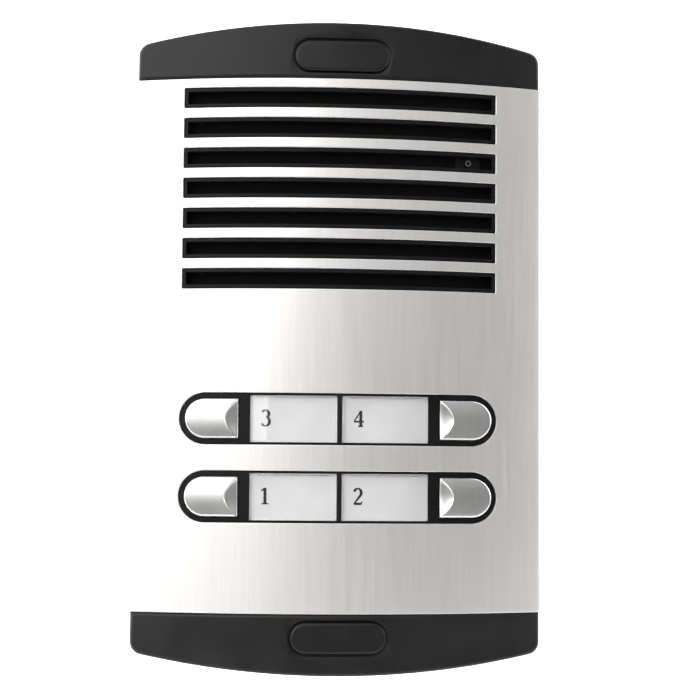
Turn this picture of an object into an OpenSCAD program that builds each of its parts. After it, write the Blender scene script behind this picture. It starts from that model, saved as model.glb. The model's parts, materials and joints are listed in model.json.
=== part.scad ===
// Door intercom panel with a bowed metal front, two end caps and four call buttons.
// Millimetres. X to the right, Z up, the front faces -Y and the wall is the plane y = 0.
// Depth means the distance forward from the wall.

/* [Front plate] */
// Overall width of the panel
panel_w = 130; // [124:1:160]
// Height of the metal plate between the two end caps
plate_h = 167.4; // [160:0.1:210]
// Depth of the plate at its side edges
side_depth = 24; // [23:0.5:32]
// How far the middle of the plate bows forward of its sides
bulge = 10; // [7:0.5:13]
// Thickness of the metal
plate_t = 2; // [1.5:0.1:2.5]
// Radius of the rounded side edges
edge_r = 1.3; // [0.6:0.1:2.5]
// Gap between the rear edge of the metal and the wall
wall_gap = 0.5; // [0.3:0.1:1.5]

/* [Speaker grille] */
// Number of slots
slot_count = 7; // [5:1:7]
// Length of a slot
slot_w = 99.2; // [80:0.2:104]
// Height of a slot
slot_h = 6.4; // [5:0.1:7.5]
// Distance from one slot to the next
slot_pitch = 9.55; // [8.6:0.05:10]
// Metal left above the first slot
slot_margin = 2.9; // [2.4:0.1:6]
// Wall of the black frame that lines each slot
slot_rim_t = 1.05; // [0.8:0.05:1.5]
// How far the slot frames sit below the metal's surface
slot_rim_drop = 0.4; // [0.2:0.1:1]

/* [Name rows] */
// Length of the rounded opening of a row
row_w = 99.8; // [96:0.2:104]
// Height of the rounded opening of a row
row_h = 16.1; // [15:0.1:19]
// Metal between the last slot and the first row
row_gap = 32.6; // [26:0.2:40]
// Distance from one row to the next
row_pitch = 24.2; // [23.4:0.1:30]
// Width of a name window
window_w = 27.2; // [22:0.2:27.6]
// Thickness of a name window
window_t = 1.5; // [1:0.1:2]
// Bar between the two windows of a row
divider_t = 1.4; // [1:0.1:3]
// Edge of the holder above and below a window
window_lip = 0.5; // [0.4:0.05:1.5]

/* [Call buttons] */
// Radius of a button's round outer end
button_r = 6.15; // [5:0.05:6.2]
// Length of a button
button_l = 16.6; // [14:0.1:17]
// How far a button can be pressed
button_travel = 1.2; // [0.6:0.1:1.3]
// Height of a button's crown above the plate
button_proud = 2; // [1:0.1:3]
// Radius of a button's domed face
dome_r = 12; // [9:0.5:20]
// Length of the sloping facet at a button's inner end
facet_l = 4.4; // [3:0.1:6]

/* [End caps] */
// Height of the top cap at its middle
top_cap_h = 18.1; // [17:0.1:24]
// Height of the bottom cap at its middle
bottom_cap_h = 19.1; // [17:0.1:24]
// Radius of the arched end of a cap
arch_r = 322; // [260:1:420]
// Radius of a cap's corners
cap_corner_r = 4; // [3:0.1:6]
// Wall of a cap
cap_t = 2.4; // [2:0.1:2.8]
// Length of the oval recess in a cap
oval_w = 31.4; // [28:0.2:34]
// Height of the oval recess in a cap
oval_h = 11.2; // [10.4:0.1:11.6]
// Groove round the oval plug
oval_groove = 0.75; // [0.3:0.05:1]

/* [Back housing] */
// Thickness of the housing's base
base_t = 2.5; // [2:0.1:3]
// Depth of the housing's side walls
housing_d = 15; // [12:0.5:15]
// Thickness of the housing's side walls
housing_t = 2; // [1.6:0.1:2.5]
// Radius of the wall screw holes
wall_hole_r = 2.25; // [1.75:0.05:2.75]
// Distance across between wall screw holes
wall_hole_w = 90; // [70:1:96]
// Height between wall screw holes
wall_hole_h = 172; // [150:1:176]
// Radius of the cable entry
cable_r = 9; // [6:0.5:10]

/* [Speaker] */
// Radius of the speaker's rim
speaker_r = 28.5; // [24:0.5:28.5]
// Radius of the speaker's magnet
magnet_r = 14; // [12:0.5:15]

/* [Hidden] */
$fn = 64;

// Clearances
fit = 0.2;
tight = 0.1;
touch = 0.05;
over = 1;
corner_ease = 0.02;

// Overall shape
hw = panel_w / 2;
crown = side_depth + bulge;
bow_r = (hw * hw + bulge * bulge) / (2 * bulge);
bow_axis = crown - bow_r;
seam = plate_h / 2;
top_z = seam + top_cap_h;
bottom_z = seam + bottom_cap_h;
cap_inset = 0.6;
cap_drop = 0.2;

// Rails inside the plate, and the flange that slides in them
flange_t = 1.5;
rail_t = 1.2;
lip_w = 2.7;
flange_hw = hw - 9;
leg_x = flange_hw + fit;
lip_off = plate_t + flange_t + tight;

// Grille
mesh_t = 0.3;
mesh_off = plate_t + flange_t;
mesh_hw = leg_x - lip_w - 0.5;
slot_top = seam - slot_margin;
slot_bottom = slot_top - (slot_count - 1) * slot_pitch - slot_h;
grille_z = (slot_top + slot_bottom) / 2;
insert_top = seam - 0.6;
insert_bottom = slot_bottom - 1.6;

// Speaker stack, front to back
baffle_front = side_depth;
baffle_t = 1.5;
baffle_back = baffle_front - baffle_t;
baffle_hw = 48;
baffle_hh = 32;
gasket_t = 0.5;
rim_front = baffle_back - gasket_t;
rim_t = 0.8;
rim_back = rim_front - rim_t;
basket_back = rim_front - 10;
basket_t = 0.8;
basket_r = speaker_r - 8.2;
top_plate_t = 1;
magnet_t = 3.5;
yoke_t = 2;
pole_r = 5.6;
gap_r = 7.6;
coil_in = 6.2;
coil_out = 7;
cone_r = speaker_r - 5.3;
cone_t = 0.45;
cone_back = basket_back + 1.6;
cone_front = rim_front - 1.1;
roll_r = 1.05;
roll_t = 0.3;
sound_r = speaker_r - 2;
collar_r = speaker_r + 1;

// Screws that hold the baffle, the clamps and the boards
screw_r = 1.05;
pilot_r = 1.1;
pass_r = 1.4;
head_r = 2.2;
head_t = 1.3;
post_r = 3;
baffle_post_x = 44;
baffle_post_z = 24;
clamp_r = speaker_r + 4.5;

// Microphone behind the third slot
mic_x = 40.7;
mic_z = slot_top - 2 * slot_pitch - slot_h / 2;
mic_r = 3;
boot_r = 5;
port_r = 1;
port_hole_r = 0.5;

// Name rows: the upper row carries buttons 3 and 4, the lower row 1 and 2
row_z = [slot_bottom - row_gap - row_h / 2, slot_bottom - row_gap - row_h / 2 - row_pitch];
end_x = row_w / 2 - row_h / 2;
holder_drop = 0.3;
holder_w = row_w - 2 * fit;
holder_h = row_h - 2 * fit;
flange_hh = 11;
board_front = 19;
board_t = 1.6;
window_h = holder_h - 2 * window_lip;
window_drop = 0.15;
label_t = 0.2;
diffuser_t = 1.5;
label_off = window_drop + window_t;
diffuser_off = label_off + label_t;
ledge_off = diffuser_off + diffuser_t;
ledge_w = 1;
boss_r = 2.1;
boss_x = leg_x - lip_w - boss_r - tight;

// Buttons
button_out = end_x + button_r;
button_in = button_out - button_l;
stem_x = (button_out + button_in) / 2;
lip_g = 0.7;
cap_back = side_depth;
lip_front = cap_back + 1;
stem_r = 1.6;
plunger_r = 1.2;
switch_w = 4.5;
switch_top = board_front + 1.7;
plunger_front = switch_top + button_travel + tight;
plunger_back = switch_top - 0.1;
spring_r = 3.9;
wire_r = 0.25;
spring_turns = 4;

// Boards
main_front = 9.6;
main_back = main_front - board_t;
main_hw = 51;
main_top = grille_z - speaker_r - 12;
main_bottom = 3.6 - seam;
main_post_x = 47;
main_post_z = [main_bottom + 6, main_top - 6];
trimmer_x = [-30, -16];
trimmer_z = main_top - 8;
trimmer_w = 7;
trimmer_front = main_front + 4.5;
rotor_r = 2.5;
block_w = 30.5;
block_h = 9;
block_front = main_front + 10;
block_z = main_bottom + 6.5;
poles = 6;
pole_pitch = block_w / poles;
can_x = [-36, -24];
can_z = main_bottom + 9;
can_r = 4;
can_l = 11;

// Housing and its fixings
housing_inset = cap_inset + cap_t + 0.4;
oval_z = [seam + 7.3, -seam - 7.4];
plug_seat = crown - 1.6;
fix_r = 1.9;
fix_pass_r = 2.15;
fix_head_r = 3.7;
fix_head_t = 2.6;
fix_recess_r = 4;
fix_seat = housing_d + 5;
pillar_r = 4.8;
cable_z = row_z[0] - 6;
seal_t = 1;

// Depth of the bowed surface, moved inwards by off, at x
function bow_d(x, off = 0) = bow_axis + sqrt(pow(bow_r - off, 2) - x * x);

// Row and side of button n: 1 and 2 below, 3 and 4 above, odd ones on the left
function row_of(n) = n > 2 ? 0 : 1;
function side_of(n) = n % 2 == 1 ? -1 : 1;

function unit(v) = v / norm(v);
function heading(p, i) = unit(p[min(i + 1, len(p) - 1)] - p[max(i - 1, 0)]);
function ring_at(p, i, r, ref, sides) =
  let (t = heading(p, i), u = unit(cross(t, ref)), v = cross(u, t))
  [for (k = [0:sides - 1]) p[i] + r * (cos(360 * k / sides) * u + sin(360 * k / sides) * v)];

// Solid of an outline drawn in x and z, between two depths
module front_prism(d0, d1) {
  rotate([90, 0, 0]) translate([0, 0, d0]) linear_extrude(d1 - d0) children();
}

// Solid of an outline drawn in x and depth, between two heights
module plan_prism(z0, z1) {
  translate([0, 0, z0]) linear_extrude(z1 - z0) mirror([0, 1, 0]) children();
}

// Round bar along the depth
module rod(x, z, r, d0, d1) {
  rotate([90, 0, 0]) translate([x, z, d0]) cylinder(r = r, h = d1 - d0);
}

// Turned solid about a depth axis, its outline drawn in radius and depth
module turned(x, z) {
  rotate([90, 0, 0]) translate([x, z, 0]) rotate_extrude($fn = 96) children();
}

module stadium(w, h) {
  square([w - h, h], center = true);
  for (s = [-1, 1]) translate([s * (w - h) / 2, 0]) circle(h / 2);
}

// Outline with an arched end of radius r, straight sides and rounded corners
module arch_outline(half_w, r, top, corner, base) {
  kx = half_w - corner;
  ky = top - r + sqrt(pow(r - corner, 2) - kx * kx) + corner_ease;
  tx = kx * r / (r - corner);
  intersection() {
    translate([0, top - r]) circle(r, $fn = 360);
    union() {
      translate([-half_w, base]) square([2 * half_w, ky - base]);
      translate([-tx, base]) square([2 * tx, top - base + over]);
      for (s = [-1, 1]) translate([s * kx, ky]) circle(corner);
    }
  }
}

module bow_disc(off) {
  translate([0, bow_axis]) circle(bow_r - off, $fn = 360);
}

// Bowed strip of thickness t whose front lies off behind the plate's surface
module bow_band(off, t, x0, x1) {
  intersection() {
    difference() {
      bow_disc(off);
      bow_disc(off + t);
    }
    translate([x0, 0]) square([x1 - x0, crown + over]);
  }
}

module under_bow(off) {
  intersection() {
    children();
    plan_prism(-bottom_z - over, top_z + over) bow_disc(off);
  }
}

// Swept round tube along a path
module tube(path, r, ref, sides) {
  n = len(path);
  points = [for (i = [0:n - 1]) each ring_at(path, i, r, ref, sides)];
  start = [[for (k = [sides - 1:-1:0]) k]];
  end = [[for (k = [0:sides - 1]) (n - 1) * sides + k]];
  walls = [for (i = [0:n - 2], k = [0:sides - 1], half = [0, 1])
    let (a = i * sides + k, b = i * sides + (k + 1) % sides, c = b + sides, d = a + sides)
    half == 0 ? [a, b, c] : [a, c, d]];
  polyhedron(points = points, faces = concat(start, walls, end));
}

// Front outline of the whole panel, moved inwards
module body_outline(inset) {
  corner = max(cap_corner_r - inset, 0.8);
  arch_outline(hw - inset, arch_r - inset, top_z - inset, corner, -over);
  mirror([0, 1, 0]) arch_outline(hw - inset, arch_r - inset, bottom_z - inset, corner, -over);
}

// ---- Metal front ----

module plate_profile() {
  difference() {
    arch_outline(hw, bow_r, crown, edge_r, wall_gap);
    arch_outline(hw - plate_t, bow_r - plate_t, crown - plate_t, 0.5, wall_gap - over);
  }
  for (s = [0, 1]) mirror([s, 0, 0]) {
    bow_band(plate_t - fit, lip_off + rail_t - plate_t + fit, leg_x, leg_x + rail_t);
    bow_band(lip_off, rail_t, leg_x - lip_w, leg_x + rail_t);
  }
}

module front_plate() {
  cut_back = bow_d(row_w / 2, plate_t) - over;
  color("silver") difference() {
    plan_prism(-seam, seam) plate_profile();
    for (i = [0:slot_count - 1])
      front_prism(cut_back, crown + over)
        translate([0, slot_top - slot_h / 2 - i * slot_pitch]) square([slot_w, slot_h], center = true);
    for (z = row_z) front_prism(cut_back, crown + over) translate([0, z]) stadium(row_w, row_h);
  }
}

// ---- End caps ----

module cap_shell(h, z_oval) {
  inner_top = seam + h - cap_t;
  tongue_x = hw - plate_t - fit;
  plug_hole_r = 1.5;
  difference() {
    union() {
      difference() {
        intersection() {
          front_prism(wall_gap, crown + over)
            arch_outline(hw - cap_inset, arch_r, seam + h, cap_corner_r, seam);
          plan_prism(seam, seam + h + over)
            arch_outline(hw - cap_inset, bow_r - cap_drop, crown - cap_drop, edge_r, wall_gap);
        }
        intersection() {
          front_prism(-over, crown)
            arch_outline(hw - cap_inset - cap_t, arch_r - cap_t, inner_top,
              max(cap_corner_r - cap_t, 0.8), seam - over);
          plan_prism(seam - over, seam + h)
            arch_outline(hw - cap_inset - cap_t, bow_r - cap_drop - cap_t,
              crown - cap_drop - cap_t, 0.8, -over);
        }
      }
      for (s = [-1, 1])
        front_prism(housing_d + over, side_depth - 2.5)
          translate([s * (tongue_x - 1.5), seam - over]) square([3, 10], center = true);
      rod(0, z_oval, pillar_r, housing_d, plug_seat);
    }
    front_prism(plug_seat, crown + over) translate([0, z_oval]) stadium(oval_w, oval_h);
    rod(0, z_oval, fix_pass_r, housing_d - over, crown);
    rod(0, z_oval, fix_recess_r, fix_seat, crown);
    for (x = [-10, 10]) rod(x, z_oval, plug_hole_r, plug_seat - 4, crown);
  }
}

module end_cap_top() {
  color("dimgray") cap_shell(top_cap_h, oval_z[0]);
}

module end_cap_bottom() {
  color("dimgray") mirror([0, 0, 1]) cap_shell(bottom_cap_h, -oval_z[1]);
}

// Oval plug that hides a fixing screw, with two round pegs behind it
module cap_plug(z) {
  plug_raise = 0.25;
  color("black") {
    under_bow(-plug_raise) front_prism(plug_seat, crown + over) translate([0, z])
      stadium(oval_w - 2 * oval_groove, oval_h - 2 * oval_groove);
    for (x = [-10, 10]) rod(x, z, 1.4, plug_seat - 2.4, plug_seat + 0.1);
  }
}

module cap_plug_top() {
  cap_plug(oval_z[0]);
}

module cap_plug_bottom() {
  cap_plug(oval_z[1]);
}

module cap_screws() {
  color("gainsboro") for (z = oval_z) difference() {
    union() {
      rod(0, z, fix_r, 5, fix_seat + 0.1);
      rod(0, z, fix_head_r, fix_seat, fix_seat + fix_head_t);
    }
    for (a = [0, 90])
      front_prism(fix_seat + 1.2, crown) translate([0, z]) rotate(a) square([4, 0.9], center = true);
  }
}

// ---- Back housing ----

module back_housing() {
  color("dimgray") difference() {
    union() {
      front_prism(0, base_t) body_outline(housing_inset);
      front_prism(0, housing_d) difference() {
        body_outline(housing_inset);
        body_outline(housing_inset + housing_t);
      }
      for (z = oval_z) rod(0, z, pillar_r, 0, housing_d);
      for (x = [-main_post_x, main_post_x], z = main_post_z) rod(x, z, post_r, 0, main_back);
    }
    front_prism(-over, seal_t) difference() {
      body_outline(housing_inset + 1);
      body_outline(housing_inset + 4);
    }
    for (z = oval_z) rod(0, z, fix_r + touch, 4, housing_d + over);
    for (x = [-main_post_x, main_post_x], z = main_post_z)
      rod(x, z, pilot_r, base_t, main_back + over);
    for (x = [-1, 1], z = [-1, 1])
      rod(x * wall_hole_w / 2, z * wall_hole_h / 2, wall_hole_r, -over, base_t + over);
    rod(0, cable_z, cable_r, -over, base_t + over);
  }
}

module wall_seal() {
  color("darkslategray") front_prism(0, seal_t) difference() {
    body_outline(housing_inset + 1 + tight);
    body_outline(housing_inset + 4 - tight);
  }
}

// ---- Grille, speaker and microphone ----

module grille_insert() {
  rim_w = slot_w - 2 * fit;
  rim_h = slot_h - 2 * fit;
  color("black") difference() {
    union() {
      plan_prism(insert_bottom, insert_top) bow_band(plate_t, flange_t, -flange_hw, flange_hw);
      for (i = [0:slot_count - 1])
        translate([0, 0, slot_top - slot_h / 2 - i * slot_pitch])
          plan_prism(-rim_h / 2, rim_h / 2)
            bow_band(slot_rim_drop, mesh_off - slot_rim_drop, -rim_w / 2, rim_w / 2);
      under_bow(plate_t + 0.5)
        for (x = [-1, 1], z = [-1, 1])
          rod(x * baffle_post_x, grille_z + z * baffle_post_z, post_r, baffle_front, crown);
    }
    difference() {
      for (i = [0:slot_count - 1])
        front_prism(bow_d(slot_w / 2, mesh_off) - over, crown + over)
          translate([0, slot_top - slot_h / 2 - i * slot_pitch])
            square([rim_w - 2 * slot_rim_t, rim_h - 2 * slot_rim_t], center = true);
      plan_prism(mic_z - slot_h, mic_z + slot_h)
        bow_band(plate_t + 0.3, flange_t - 0.3, mic_x - 4, mic_x + 4);
      for (x = [-1, 1], z = [-1, 1])
        rod(x * baffle_post_x, grille_z + z * baffle_post_z, post_r, baffle_front - over,
          bow_d(baffle_post_x, plate_t + 0.5));
    }
    rod(mic_x, mic_z, port_r + touch, baffle_front, crown + over);
    for (x = [-1, 1], z = [-1, 1])
      rod(x * baffle_post_x, grille_z + z * baffle_post_z, pilot_r, baffle_front - over,
        bow_d(baffle_post_x, plate_t + 0.9));
  }
}

module acoustic_mesh() {
  color("black") difference() {
    plan_prism(insert_bottom + over, insert_top - over)
      bow_band(mesh_off, mesh_t, -mesh_hw, mesh_hw);
    for (x = [-1, 1], z = [-1, 1])
      rod(x * baffle_post_x, grille_z + z * baffle_post_z, post_r + fit, baffle_front, crown);
    rod(mic_x, mic_z, port_r + 0.3, baffle_front, crown);
  }
}

module microphone_port() {
  color("silver") difference() {
    under_bow(plate_t - 0.2) rod(mic_x, mic_z, port_r, bow_d(mic_x, mesh_off + mesh_t), crown);
    rod(mic_x, mic_z, port_hole_r, baffle_front, crown);
  }
}

module speaker_baffle() {
  color("dimgray") difference() {
    union() {
      front_prism(baffle_back, baffle_front) translate([0, grille_z])
        square([2 * baffle_hw, 2 * baffle_hh], center = true);
      under_bow(mesh_off + mesh_t) rod(0, grille_z, collar_r, baffle_back, crown);
    }
    rod(0, grille_z, sound_r, baffle_back - over, crown + over);
    for (x = [-1, 1], z = [-1, 1])
      rod(x * baffle_post_x, grille_z + z * baffle_post_z, pass_r, baffle_back - over, baffle_front + over);
    for (a = [45:90:315])
      rod(clamp_r * cos(a), grille_z + clamp_r * sin(a), pilot_r, baffle_back - over, baffle_front + over);
    rod(mic_x, mic_z, boot_r + fit, baffle_back - over, baffle_front + over);
  }
}

module speaker_gasket() {
  color("darkslategray") turned(0, grille_z)
    translate([sound_r, rim_front]) square([speaker_r - sound_r, gasket_t]);
}

module speaker_frame() {
  color("silver") difference() {
    turned(0, grille_z) polygon([
      [speaker_r, rim_front], [speaker_r, rim_back], [speaker_r - 2.2, rim_back],
      [basket_r, basket_back], [gap_r + 0.4, basket_back], [gap_r + 0.4, basket_back + basket_t],
      [basket_r - 0.5, basket_back + basket_t], [speaker_r - 3.2, cone_front],
      [speaker_r - 3.2, rim_front]
    ]);
    for (a = [0:60:300])
      rotate([90, 0, 0]) translate([0, grille_z, basket_back + basket_t + over]) rotate(a)
        translate([basket_r - 3, -5, 0]) cube([12, 10, 4.6]);
  }
}

module speaker_top_plate() {
  color("gray") turned(0, grille_z)
    translate([gap_r, basket_back - top_plate_t]) square([magnet_r - gap_r, top_plate_t]);
}

module speaker_magnet() {
  color("dimgray") turned(0, grille_z)
    translate([gap_r + 1, basket_back - top_plate_t - magnet_t]) square([magnet_r - gap_r - 1, magnet_t]);
}

module speaker_yoke() {
  yoke_front = basket_back - top_plate_t - magnet_t;
  color("gray") {
    rod(0, grille_z, magnet_r - 0.5, yoke_front - yoke_t, yoke_front);
    rod(0, grille_z, pole_r, yoke_front - touch, basket_back);
  }
}

module voice_coil() {
  color("chocolate") turned(0, grille_z)
    translate([coil_in, basket_back - 3]) square([coil_out - coil_in, cone_back - basket_back + 3.6]);
}

module speaker_cone() {
  color("black") turned(0, grille_z) polygon([
    [coil_out, cone_back], [coil_out, cone_back + cone_t],
    [cone_r, cone_front], [cone_r, cone_front - cone_t]
  ]);
}

module dust_cap() {
  ball_r = 10;
  seat = cone_back + 0.6;
  centre = seat - sqrt(ball_r * ball_r - coil_out * coil_out);
  color("black") intersection() {
    rod(0, grille_z, coil_out, seat, seat + 5);
    difference() {
      translate([0, -centre, grille_z]) sphere(ball_r, $fn = 96);
      translate([0, -centre, grille_z]) sphere(ball_r - 0.3, $fn = 96);
    }
  }
}

module speaker_surround() {
  color("black") turned(0, grille_z) intersection() {
    translate([cone_r + roll_r, cone_front]) difference() {
      circle(roll_r);
      circle(roll_r - roll_t);
    }
    translate([cone_r - over, cone_front]) square([2 * roll_r + 2 * over, roll_r + over]);
  }
}

// Four clips that hold the speaker's rim to the baffle
module speaker_clamps() {
  color("silver") for (a = [45:90:315])
    rotate([90, 0, 0]) translate([0, grille_z, 0]) rotate(a) difference() {
      union() {
        translate([speaker_r - 2, -3, rim_back - rim_t]) cube([clamp_r - speaker_r + 5, 6, rim_t]);
        translate([speaker_r + 0.3, -3, rim_back - touch])
          cube([clamp_r - speaker_r + 2.7, 6, baffle_back - rim_back + touch]);
      }
      translate([clamp_r, 0, rim_back - 2]) cylinder(r = pass_r, h = 5);
    }
}

module microphone_boot() {
  color("darkslategray") difference() {
    union() {
      under_bow(mesh_off + mesh_t) rod(mic_x, mic_z, boot_r, baffle_back - 2.5, crown);
      rod(mic_x, mic_z, boot_r + 1.5, baffle_back - 1.5, baffle_back);
    }
    rod(mic_x, mic_z, mic_r + touch, baffle_back - 4, baffle_back + 2);
    rod(mic_x, mic_z, port_r, baffle_back, crown);
  }
}

module microphone_capsule() {
  color("silver") {
    rod(mic_x, mic_z, mic_r, baffle_back - 0.9, baffle_back + 2);
    for (x = [-1, 1]) rod(mic_x + x * 1.2, mic_z, 0.3, baffle_back - 3.5, baffle_back - 0.8);
  }
}

// ---- Name rows ----

module button_outline(s, g) {
  translate([s * end_x, 0]) circle(button_r + g);
  translate([s * (end_x + button_in - g) / 2, 0])
    square([end_x - button_in + g, 2 * (button_r + g)], center = true);
}

module name_holder(z) {
  color("black") difference() {
    union() {
      plan_prism(z - flange_hh, z + flange_hh) bow_band(plate_t, flange_t, -flange_hw, flange_hw);
      under_bow(holder_drop) front_prism(board_front, crown) translate([0, z]) stadium(holder_w, holder_h);
      under_bow(plate_t + 0.5) for (s = [-1, 1]) rod(s * boss_x, z, boss_r, board_front, crown);
    }
    for (s = [-1, 1]) {
      difference() {
        front_prism(board_front, crown + over)
          translate([s * (divider_t + window_w) / 2, z]) square([window_w, window_h], center = true);
        plan_prism(z - row_h, z + row_h) bow_disc(ledge_off);
      }
      front_prism(board_front - over, crown) translate([s * (divider_t + window_w) / 2, z])
        square([window_w - 2 * ledge_w, window_h - 2 * ledge_w], center = true);
      front_prism(board_front - over, crown + over) translate([0, z]) button_outline(s, fit);
      front_prism(board_front - over, lip_front + tight) translate([0, z]) button_outline(s, lip_g + fit);
      rod(s * boss_x, z, pilot_r, board_front - over, board_front + 5);
    }
  }
}

module name_holder_upper() {
  name_holder(row_z[0]);
}

module name_holder_lower() {
  name_holder(row_z[1]);
}

// Bowed sheet in the window opening of button n
module window_sheet(n, off, t, gap) {
  z = row_z[row_of(n)];
  x0 = divider_t / 2 + gap;
  x1 = divider_t / 2 + window_w - gap;
  half_h = window_h / 2 - gap;
  plan_prism(z - half_h, z + half_h)
    bow_band(off, t, side_of(n) < 0 ? -x1 : x0, side_of(n) < 0 ? -x0 : x1);
}

module window(n) {
  color("lightcyan") window_sheet(n, window_drop, window_t, tight);
}

module label(n) {
  color("whitesmoke") window_sheet(n, label_off, label_t, 0.3);
}

module diffusers() {
  color("white") for (n = [1:4]) window_sheet(n, diffuser_off, diffuser_t, tight);
}

module label_leds() {
  color("khaki") for (n = [1:4])
    front_prism(board_front, board_front + 1.9)
      translate([side_of(n) * (divider_t + window_w) / 2, row_z[row_of(n)]])
        square([3.5, 2.8], center = true);
}

module button(n) {
  s = side_of(n);
  z = row_z[row_of(n)];
  tilt = asin(stem_x / bow_r);
  dome_d = bow_d(stem_x) + button_proud;
  facet_x = button_in + facet_l;
  facet_d = dome_d + (stem_x - facet_x) * tan(tilt);
  slope = 0.2;
  reach = 30;
  color("gainsboro") {
    difference() {
      intersection() {
        front_prism(cap_back, crown + 4) translate([0, z]) button_outline(s, 0);
        translate([s * stem_x, dome_r - dome_d, z]) rotate([0, 0, s * tilt]) rotate([0, 90, 0])
          cylinder(r = dome_r, h = 2 * reach, center = true, $fn = 128);
      }
      plan_prism(z - row_h, z + row_h) polygon([
        [s * (facet_x - reach), facet_d - reach * slope], [s * (facet_x + reach), facet_d + reach * slope],
        [s * (facet_x + reach), facet_d + reach], [s * (facet_x - reach), facet_d + reach]
      ]);
    }
    front_prism(cap_back, lip_front) translate([0, z]) button_outline(s, lip_g);
    rod(s * stem_x, z, stem_r, plunger_front, cap_back + touch);
  }
}

// Return spring between the board and the button
module button_spring(n) {
  s = side_of(n);
  z = row_z[row_of(n)];
  d0 = board_front + wire_r + tight;
  d1 = cap_back - wire_r - tight;
  steps = spring_turns * 16;
  path = [for (i = [0:steps])
    let (a = 360 * spring_turns * i / steps)
    [s * stem_x + spring_r * cos(a), -(d0 + (d1 - d0) * i / steps), z + spring_r * sin(a)]];
  color("silver") tube(path, wire_r, [0, 1, 0], 6);
}

module plunger(n) {
  color("firebrick")
    rod(side_of(n) * stem_x, row_z[row_of(n)], plunger_r, plunger_back, plunger_front);
}

module switch_bodies() {
  color("dimgray") for (n = [1:4]) difference() {
    front_prism(board_front, switch_top) translate([side_of(n) * stem_x, row_z[row_of(n)]])
      square([switch_w, switch_w], center = true);
    rod(side_of(n) * stem_x, row_z[row_of(n)], plunger_r + fit, switch_top - button_travel - 0.3,
      switch_top + over);
  }
}

// ---- Boards ----

module button_board() {
  color("darkgreen") difference() {
    front_prism(board_front - board_t, board_front)
      translate([0, (row_z[0] + row_z[1]) / 2])
        square([2 * flange_hw - 2, row_pitch + 21], center = true);
    for (s = [-1, 1], z = row_z) rod(s * boss_x, z, pass_r, board_front - board_t - over, board_front + over);
  }
}

module main_board() {
  color("darkgreen") difference() {
    front_prism(main_back, main_front) translate([-main_hw, main_bottom])
      square([2 * main_hw, main_top - main_bottom]);
    for (x = [-main_post_x, main_post_x], z = main_post_z)
      rod(x, z, pass_r, main_back - over, main_front + over);
  }
}

module trimmer_bodies() {
  color("royalblue") for (x = trimmer_x) difference() {
    front_prism(main_front, trimmer_front) translate([x, trimmer_z])
      square([trimmer_w, trimmer_w], center = true);
    rod(x, trimmer_z, rotor_r + touch, trimmer_front - 1.5, trimmer_front + over);
  }
}

module trimmer_rotor(x) {
  color("white") difference() {
    rod(x, trimmer_z, rotor_r, trimmer_front - 1.4, trimmer_front + 0.8);
    front_prism(trimmer_front, trimmer_front + 2) translate([x, trimmer_z])
      square([2 * rotor_r + 1, 0.8], center = true);
  }
}

module terminal_block() {
  color("seagreen") difference() {
    front_prism(main_front, block_front) translate([-block_w / 2 + 8, block_z - block_h / 2])
      square([block_w, block_h]);
    for (i = [0:poles - 1]) {
      x = 8 - block_w / 2 + (i + 0.5) * pole_pitch;
      rod(x, block_z, 2, block_front - 4, block_front + over);
      translate([x, -(main_front + 3), block_z - block_h / 2 - over]) cylinder(r = 1.5, h = 5);
    }
  }
}

module terminal_screws() {
  color("gainsboro") for (i = [0:poles - 1]) difference() {
    x = 8 - block_w / 2 + (i + 0.5) * pole_pitch;
    rod(x, block_z, 1.9, block_front - 4, block_front - 1.5);
    front_prism(block_front - 2.3, block_front) translate([x, block_z]) square([4.2, 0.7], center = true);
  }
}

module capacitors() {
  color("midnightblue") for (x = can_x) rod(x, can_z, can_r, main_front, main_front + can_l);
}

// Pin strip between the boards, and the speaker's socket
module board_connectors() {
  link_z = row_z[1] - 8;
  color("black") {
    front_prism(main_front, board_front - board_t) translate([-30, link_z])
      square([20, 2.5], center = true);
    front_prism(main_front, main_front + 4.5) translate([0, main_top - 4]) square([10, 5], center = true);
  }
}

// Two leads from the tag on the speaker's basket to its socket
module speaker_leads() {
  lead_r = 0.6;
  tag_z = grille_z - basket_r - 7;
  tag_d = basket_back + 2.5;
  socket_z = main_top - 1.5;
  socket_d = main_front + 2.3;
  steps = 18;
  color("firebrick") {
    for (x = [-2, 2]) {
      path = [for (i = [0:steps])
        let (f = i / steps)
        [x, -(tag_d + (socket_d - tag_d) * (3 * f * f - 2 * f * f * f)), tag_z + (socket_z - tag_z) * f]];
      tube(path, lead_r, [1, 0, 0], 8);
    }
    front_prism(tag_d - 0.7, tag_d + 0.7) translate([-4.5, tag_z]) square([9, 4.2]);
  }
}

// One drawn screw: its head lies behind depth d and its shank runs forward
module small_screw(x, z, d, l) {
  difference() {
    union() {
      rod(x, z, head_r, d - head_t, d);
      rod(x, z, screw_r, d - 0.1, d + l);
    }
    for (a = [0, 90])
      front_prism(d - head_t - over, d - head_t + 0.7) translate([x, z]) rotate(a)
        square([2.6, 0.6], center = true);
  }
}

// The same screw driven from the front
module front_screw(x, z, d, l) {
  difference() {
    union() {
      rod(x, z, head_r, d, d + head_t);
      rod(x, z, screw_r, d - l, d + 0.1);
    }
    for (a = [0, 90])
      front_prism(d + head_t - 0.7, d + head_t + over) translate([x, z]) rotate(a)
        square([2.6, 0.6], center = true);
  }
}

module small_screws() {
  color("silver") {
    for (x = [-1, 1], z = [-1, 1])
      small_screw(x * baffle_post_x, grille_z + z * baffle_post_z, baffle_back, 4);
    for (a = [45:90:315])
      small_screw(clamp_r * cos(a), grille_z + clamp_r * sin(a), rim_back - rim_t, 3.4);
    for (s = [-1, 1], z = row_z) small_screw(s * boss_x, z, board_front - board_t, 5.5);
    for (x = [-main_post_x, main_post_x], z = main_post_z) front_screw(x, z, main_front, 6.5);
  }
}

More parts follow.
